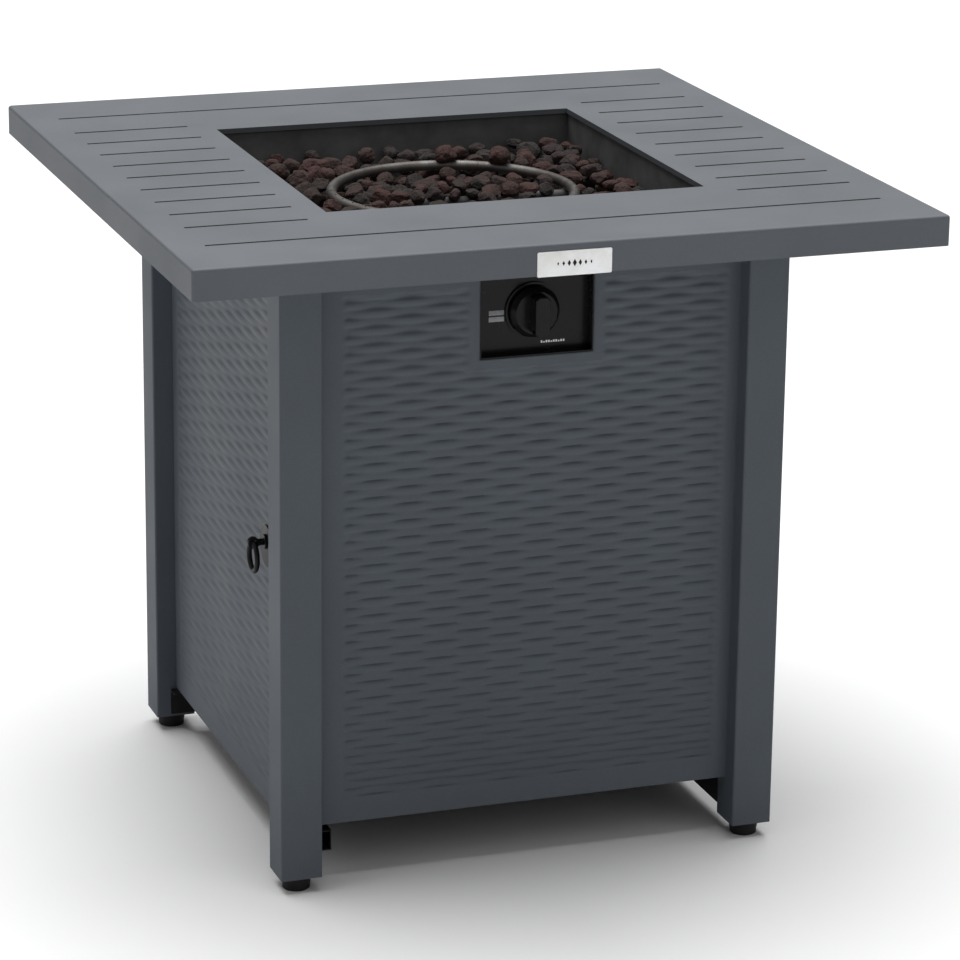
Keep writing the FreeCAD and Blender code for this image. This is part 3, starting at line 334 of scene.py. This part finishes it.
def weave_valley(across, up):
    """How low the weave lies at a point, from 0 on a strand's crown to 1 between strands."""
    row = math.floor(up / STRAND_PITCH)
    middle = up / STRAND_PITCH - row - 0.5
    round_strand = math.sqrt(max(0.0, 1.0 - (2.0 * middle) ** 2))
    over = 0.5 * (1.0 + math.cos(math.pi * (across / STAKE_PITCH + row)))
    height = round_strand * (0.12 + 0.88 * over ** 0.8)
    return 1.0 - height


def woven_panel(name, node, body, side, pressed, borders, window=None, flat_spot=None):
    """A pan of thin sheet with a basket weave of the given depth pressed into its face.

    side turns the front panel's frame to this panel's. window (left, bottom,
    right, top) and flat_spot (across, up, radius) are in that frame.
    """
    low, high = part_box(node)
    turn = Matrix.Rotation(side, 4, "Z")
    corners = [turn.inverted() @ low, turn.inverted() @ high]
    left, right = sorted(corner.x for corner in corners)
    face, back = sorted(corner.y for corner in corners)
    bottom, top = low.z, high.z
    weave = (left + borders[0], bottom + borders[1], right - borders[2], top - borders[3])

    columns = [left, weave[0], weave[2], right]
    rows = [bottom, weave[1], weave[3], top]
    if window:
        columns += [window[0] - WINDOW_RIM, window[0], window[2], window[2] + WINDOW_RIM]
        rows += [window[1] - WINDOW_RIM, window[1], window[3]]
    columns = lines_between(sorted(columns), STAKE_PITCH / STEPS_PER_STAKE)
    rows = lines_between(sorted(rows), STRAND_PITCH / STEPS_PER_STRAND)

    def depth(x, z):
        if not (weave[0] < x < weave[2] and weave[1] < z < weave[3]):
            return 0.0
        edge = WINDOW_RIM + TINY
        if window and window[0] - edge < x < window[2] + edge and z > window[1] - edge:
            return 0.0
        fade = 1.0
        if flat_spot:
            away = math.hypot(x - flat_spot[0], z - flat_spot[1]) - flat_spot[2]
            fade = max(0.0, min(1.0, away / PULL_FADE))
        return pressed * fade * weave_valley(x - weave[0], z - weave[1])

    vertices = []
    index = {}
    for i, x in enumerate(columns):
        for j, z in enumerate(rows):
            index[i, j] = len(vertices)
            vertices.append(Vector((x, face + depth(x, z), z)))
    last_i, last_j = len(columns) - 1, len(rows) - 1
    faces = []
    for i in range(last_i):
        for j in range(last_j):
            x = (columns[i] + columns[i + 1]) / 2
            z = (rows[j] + rows[j + 1]) / 2
            if window and window[0] < x < window[2] and window[1] < z < window[3]:
                continue
            faces.append((index[i, j], index[i + 1, j], index[i + 1, j + 1], index[i, j + 1]))

    # The pan's folded edge, from the face back to the frame.
    rim = [(i, 0) for i in range(last_i)] + [(last_i, j) for j in range(last_j)]
    rim += [(i, last_j) for i in range(last_i, 0, -1)] + [(0, j) for j in range(last_j, 0, -1)]
    behind = {}
    for key in rim:
        behind[key] = len(vertices)
        front = vertices[index[key]]
        vertices.append(Vector((front.x, back, front.z)))
    for key, following in zip(rim, rim[1:] + rim[:1]):
        faces.append((index[following], index[key], behind[key], behind[following]))

    piece = add_piece(name, [turn @ vertex for vertex in vertices], faces, "body_paint", body)
    piece.data.shade_smooth()
    piece.data.set_sharp_from_angle(angle=FOLD_ANGLE)
    thickness = piece.modifiers.new("sheet", "SOLIDIFY")
    thickness.thickness = SHEET
    thickness.offset = -1.0
    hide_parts(node)


def make_woven_panels():
    """Three fixed panels, the front one with the control window, and the door."""
    tray_low, tray_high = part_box("control_tray")
    clearance = 0.3 * MM
    flange = 10 * MM
    control_window = (tray_low.x + flange - clearance, tray_low.z + flange - clearance,
                      tray_high.x - flange + clearance, tray_high.z - flange + clearance)
    pull_low, pull_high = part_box("pull_rosette")
    pull = (pull_low + pull_high) / 2
    woven_panel("front_woven_panel", "front_panel", "base", 0.0, PANEL_PRESSED, PANEL_BORDERS,
                window=control_window)
    woven_panel("back_woven_panel", "back_panel", "base", math.pi, PANEL_PRESSED, PANEL_BORDERS)
    woven_panel("right_woven_panel", "right_panel", "base", math.pi / 2, PANEL_PRESSED,
                PANEL_BORDERS)
    woven_panel("door_woven_panel", "door_panel", "door", -math.pi / 2, DOOR_PRESSED,
                DOOR_BORDERS, flat_spot=(-pull.y, pull.z, PULL_FLAT))


make_woven_panels()


# ---- Lava stones -----------------------------------------------------------

STONE_SEED = 11
CHIPPED_FACES = 9
# Smallest, largest and commonest radius, in millimetres.
STONE_RADII = (7.5, 18, 12.5)
DROPS = 30000
# How close two stones lie, as a part of the sum of their radii.
PACKING = 0.86
BOWL_RIM = 16.8 * MM
BOWL_SHEET = 1.2 * MM
# Top of the fill above the ring's middle, inside and outside the ring.
LEVEL_INSIDE = 4 * MM
LEVEL_OUTSIDE = 10 * MM
# Bearings from the right-hand side, in degrees, and radii of stones lying on the ring.
RESTING_ON_RING = [(49, 14.5 * MM), (75, 12.5 * MM), (-115, 12 * MM)]
# A row of stones lies along the crossbar.
STEPS_ALONG_BAR = range(-5, 6)
BAR_STONE_PITCH = 18.5 * MM
BAR_STONE_LARGEST = 9.5 * MM
BAR_HEAP = 6 * MM
# The fill lies lower at the ring's front right.
HOLLOW_DEPTH = 9 * MM
HOLLOW_REACH = 40 * MM
# Space left round the igniter and the flame sensor.
PROBE_GAP = 4 * MM


def lava_lump(rng, radius):
    """An angular, pitted lump about the origin, as vertices and faces."""
    lump = bmesh.new()
    bmesh.ops.create_icosphere(lump, subdivisions=3, radius=1.0)
    shift = Vector((rng.uniform(0, 90), rng.uniform(0, 90), rng.uniform(0, 90)))
    planes = []
    for _ in range(CHIPPED_FACES):
        normal = Vector((rng.gauss(0, 1), rng.gauss(0, 1), rng.gauss(0, 1))).normalized()
        planes.append((normal, rng.uniform(0.62, 0.9)))
    squash = Vector((1.0, rng.uniform(0.72, 0.95), rng.uniform(0.62, 0.85)))
    turned = Matrix.Rotation(rng.uniform(0, 6.28), 3, "Z")
    spin = turned @ Matrix.Rotation(rng.uniform(-0.7, 0.7), 3, "X")
    for vertex in lump.verts:
        point = vertex.co.normalized()
        for normal, reach in planes:
            beyond = point.dot(normal) - reach
            if beyond > 0:
                point -= normal * beyond * 0.92
        rough = noise.fractal(point * 2.6 + shift, 0.9, 2.1, 4)
        point *= 1.0 + 0.10 * rough
        vertex.co = spin @ (point * squash)
    reach = max(vertex.co.length for vertex in lump.verts)
    for vertex in lump.verts:
        vertex.co *= radius / reach
    vertices = [vertex.co.copy() for vertex in lump.verts]
    faces = [[vertex.index for vertex in polygon.verts] for polygon in lump.faces]
    lump.free()
    return vertices, faces


def pour_stones(rng):
    """Drop balls one by one into the bowl and keep those that settle low enough."""
    bowl_low, bowl_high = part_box("burner_bowl")
    ring_low, ring_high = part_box("burner_ring")
    bar_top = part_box("burner_crossbar")[1].z
    probes = [sum(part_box(node), Vector()) / 2 for node in ("igniter_electrode", "flame_sensor")]
    inner = bowl_high.x - BOWL_RIM
    floor = bowl_low.z + BOWL_SHEET
    tube = (ring_high.z - ring_low.z) / 2
    ring_radius = ring_high.x - tube
    ring_z = ring_low.z + tube

    settled = []
    for bearing, radius in RESTING_ON_RING:
        a = math.radians(bearing)
        settled.append((ring_radius * math.cos(a), ring_radius * math.sin(a),
                        ring_high.z + 0.45 * radius, radius))
    for step in STEPS_ALONG_BAR:
        radius = rng.uniform(9.5, 11.5) * MM
        settled.append((step * BAR_STONE_PITCH, rng.uniform(-7, -3) * MM,
                        bar_top + 0.35 * radius, radius))
    settled = np.array(settled)

    for _ in range(DROPS):
        radius = rng.triangular(*STONE_RADII) * MM
        x = rng.uniform(radius - inner, inner - radius)
        y = rng.uniform(radius - inner, inner - radius)
        from_middle = math.hypot(x, y)
        from_ring = abs(from_middle - ring_radius)
        z = floor + radius * 0.72
        near_bar = abs(y) < radius * 0.8 + tube and from_middle < ring_radius
        if near_bar:
            radius = min(radius, BAR_STONE_LARGEST)
            z = bar_top + radius * 0.7
        gap = np.hypot(settled[:, 0] - x, settled[:, 1] - y)
        reach = PACKING * (settled[:, 3] + radius)
        close = gap < reach
        if close.any():
            rest = settled[close, 2] + np.sqrt(reach[close] ** 2 - gap[close] ** 2)
            z = max(z, float(rest.max()))

        heap = noise.noise(Vector((x * 14, y * 14, 3.0))) * 3 * MM
        level = ring_z + heap + (LEVEL_INSIDE if from_middle < ring_radius else LEVEL_OUTSIDE)
        if near_bar:
            level += BAR_HEAP
        if x > HOLLOW_REACH and y < 0 and from_ring < HOLLOW_REACH:
            level -= HOLLOW_DEPTH
        over_ring = from_ring < radius * 0.8 + tube
        if over_ring and z + radius * 0.8 > ring_low.z:
            continue
        if z + radius * 0.75 > level:
            continue
        if any(math.hypot(x - probe.x, y - probe.y) < radius * 0.9 + PROBE_GAP
               for probe in probes):
            continue
        settled = np.vstack([settled, (x, y, z, radius)])
    return settled


def make_lava_bed():
    """The poured stones as one piece, each with a tint of its own."""
    rng = random.Random(STONE_SEED)
    vertices = []
    faces = []
    tints = []
    for x, y, z, radius in pour_stones(rng):
        points, polygons = lava_lump(rng, radius)
        first = len(vertices)
        vertices += [point + Vector((x, y, z)) for point in points]
        faces += [[first + i for i in polygon] for polygon in polygons]
        tints += [rng.random()] * len(points)
    bed = add_piece("lava_bed", vertices, faces, "lava_stone", "base")
    tint = bed.data.attributes.new("tint", "FLOAT", "POINT")
    tint.data.foreach_set("value", tints)
    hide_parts("lava_rocks")


make_lava_bed()


# ---- Badge and printed marks -----------------------------------------------

BADGE_CORNER = 1.5 * MM
DIAMOND_PITCH = 5.2 * MM
PRINT_THICKNESS = 0.12 * MM
# Left, bottom, right and top of the printed bars, in millimetres.
TRAY_BARS = [(-37.5, 534.5, -22.8, 539.0), (-37.5, 528.5, -22.8, 533.0)]
# Ticks below the knob: how many, the first one's left edge, and their bottom edge.
TICKS = 10
FIRST_TICK = 13.5
TICK_BOTTOM = 505.2


def rounded_outline(left, low, right, high, radius, steps=6):
    """Points anticlockwise round a rectangle with rounded corners, as across and up."""
    corners = [(right - radius, low + radius, -90), (right - radius, high - radius, 0),
               (left + radius, high - radius, 90), (left + radius, low + radius, 180)]
    points = []
    for x, z, start in corners:
        for step in range(steps + 1):
            a = math.radians(start + 90 * step / steps)
            points.append((x + radius * math.cos(a), z + radius * math.sin(a)))
    return points


# Corners of a prism's faces: four corners at the back, then four at the front.
PRISM_FACES = ((3, 2, 1, 0), (4, 5, 6, 7), (0, 1, 5, 4), (1, 2, 6, 5), (2, 3, 7, 6), (3, 0, 4, 7))


def add_prism(vertices, faces, outline, back, front):
    """Add a four-cornered prism whose front looks forward; the outline is anticlockwise."""
    first = len(vertices)
    for y in (back, front):
        vertices += [(x, y, z) for x, z in outline]
    faces += [[first + i for i in quad] for quad in PRISM_FACES]


def make_badge():
    """A blank satin plate with a raised rim, and a row of small diamonds on it."""
    low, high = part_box("badge_plate")
    profile = [(0.0, high.y), (0.0, low.y + 0.15 * MM), (0.15 * MM, low.y),
               (0.95 * MM, low.y), (1.2 * MM, low.y + 0.25 * MM)]
    vertices = []
    for inset, y in profile:
        outline = rounded_outline(low.x + inset, low.z + inset, high.x - inset, high.z - inset,
                                  BADGE_CORNER - inset)
        vertices += [(x, y, z) for x, z in outline]
    count = len(vertices) // len(profile)
    faces = [list(range(count))[::-1]]
    for ring in range(len(profile) - 1):
        for i in range(count):
            j = (i + 1) % count
            a, b = ring * count, (ring + 1) * count
            faces.append([a + i, a + j, b + j, b + i])
    faces.append([(len(profile) - 1) * count + i for i in range(count)])
    badge = add_piece("badge", vertices, faces, "badge_metal", "base")
    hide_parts("badge_plate")

    middle = (low + high) / 2
    back, front = low.y + 0.3 * MM, low.y + 0.1 * MM
    vertices = []
    faces = []
    for step in range(-3, 4):
        tall = (3.4 - 0.6 * abs(step)) * MM
        wide = 0.55 * tall
        x = middle.x + step * DIAMOND_PITCH
        add_prism(vertices, faces, [(x, middle.z - tall), (x + wide, middle.z),
                                    (x, middle.z + tall), (x - wide, middle.z)], back, front)
    add_piece("badge_motif", vertices, faces, "pull_metal", "base")


def make_tray_marks():
    """Two bars beside the knob and a row of ticks below it, printed on the tray."""
    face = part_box("knob_bezel")[1].y
    ticks = []
    for i in range(TICKS):
        left = FIRST_TICK + 2.4 * i
        ticks.append((left, TICK_BOTTOM, left + 1.5, 506.6 if i % 3 == 1 else 507.4))
    for name, marks, finish in (("tray_bars", TRAY_BARS, "valve_casting"),
                                ("tray_ticks", ticks, "badge_metal")):
        vertices = []
        faces = []
        for mark in marks:
            left, low, right, high = (value * MM for value in mark)
            add_prism(vertices, faces, [(left, low), (right, low), (right, high), (left, high)],
                      face, face - PRINT_THICKNESS)
        add_piece(name, vertices, faces, finish, "base")


make_badge()
make_tray_marks()


# ---- Floor, light and camera -----------------------------------------------

FLOOR_HALF = 20.0
CAMERA_LENS = 146.8
CAMERA_SENSOR = 36.0
CAMERA_PLACE = (-1.19258, -3.47865, 1.45059)
CAMERA_AHEAD = (0.31693, 0.90109, -0.29597)
CAMERA_ABOVE = (0.08688, 0.28317, 0.95513)


def make_floor():
    """A plain pale floor."""
    mesh = bpy.data.meshes.new("floor")
    corners = [(-1, -1), (1, -1), (1, 1), (-1, 1)]
    mesh.from_pydata([(x * FLOOR_HALF, y * FLOOR_HALF, 0) for x, y in corners],
                     [], [(0, 1, 2, 3)])
    floor = bpy.data.objects.new("floor", mesh)
    bpy.context.scene.collection.objects.link(floor)
    paper = Surface("pale_floor", (0.93, 0.93, 0.93), 0.9)
    paper.colour(paper.ramp(paper.noise(0.8), (0.92, 0.92, 0.92), (0.94, 0.94, 0.94)))
    paper.shader.inputs["Specular IOR Level"].default_value = 0.1
    mesh.materials.append(paper.material)


def sun(name, azimuth, elevation, strength, angle):
    """Soft light from a direction: azimuth 0 shines from the front, 90 from the right."""
    light = bpy.data.lights.new(name, "SUN")
    light.energy = strength
    light.angle = math.radians(angle)
    lamp = bpy.data.objects.new(name, light)
    bpy.context.scene.collection.objects.link(lamp)
    a, e = math.radians(azimuth), math.radians(elevation)
    source = Vector((math.sin(a) * math.cos(e), -math.cos(a) * math.cos(e), math.sin(e)))
    lamp.rotation_mode = "QUATERNION"
    lamp.rotation_quaternion = source.to_track_quat("Z", "Y")


def make_camera():
    """A camera at the viewing angle of a three-quarter view from the front left."""
    data = bpy.data.cameras.new("camera")
    data.sensor_width = CAMERA_SENSOR
    data.lens = CAMERA_LENS
    data.clip_start, data.clip_end = 0.1, 100.0
    camera = bpy.data.objects.new("camera", data)
    bpy.context.scene.collection.objects.link(camera)
    ahead = Vector(CAMERA_AHEAD).normalized()
    above = Vector(CAMERA_ABOVE).normalized()
    right = ahead.cross(above).normalized()
    above = right.cross(ahead)
    turn = Matrix((right, above, -ahead)).transposed()
    camera.rotation_mode = "QUATERNION"
    camera.rotation_quaternion = turn.to_quaternion()
    camera.location = CAMERA_PLACE
    bpy.context.scene.camera = camera


def make_world(strength):
    """Even white light from all round."""
    world = bpy.data.worlds.new("studio")
    world.use_nodes = True
    background = world.node_tree.nodes["Background"]
    background.inputs["Color"].default_value = (1.0, 1.0, 1.0, 1.0)
    background.inputs["Strength"].default_value = strength
    bpy.context.scene.world = world


make_floor()
sun("overhead", azimuth=180, elevation=80, strength=3.6, angle=60)
sun("left_fill", azimuth=-90, elevation=35, strength=0.3, angle=50)
sun("front_fill", azimuth=10, elevation=35, strength=0.42, angle=60)
make_world(0.07)
make_camera()
bpy.context.scene.view_settings.view_transform = "Standard"
